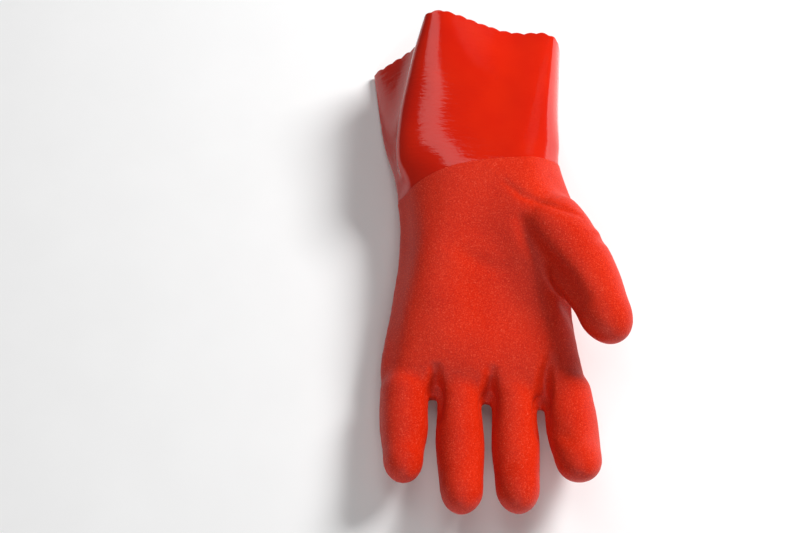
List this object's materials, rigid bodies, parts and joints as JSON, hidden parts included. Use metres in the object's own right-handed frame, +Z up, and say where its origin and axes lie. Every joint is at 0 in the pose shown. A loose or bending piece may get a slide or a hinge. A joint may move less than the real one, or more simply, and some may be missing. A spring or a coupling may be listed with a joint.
{
  "type": "pvc coated work glove",
  "caption": "Left-hand PVC work glove with rough sandy grip and a smooth glossy gauntlet cuff, lying palm up, hollow from mouth to fingertips.",
  "frame": {"origin": "middle of the glove's bounding box, on the surface that it lies on", "axes": "+Y from the fingertips to the open mouth of the cuff, +Z up out of the palm, +X towards the thumb"},
  "size_m": [0.1432, 0.2974, 0.059],
  "materials": {
    "sandy_vinyl": "matte",
    "gloss_vinyl": "gloss"
  },
  "bodies": {
    "root": {"hand_coat": "sandy_vinyl", "gauntlet_cuff": "gloss_vinyl"}
  },
  "joints": []
}
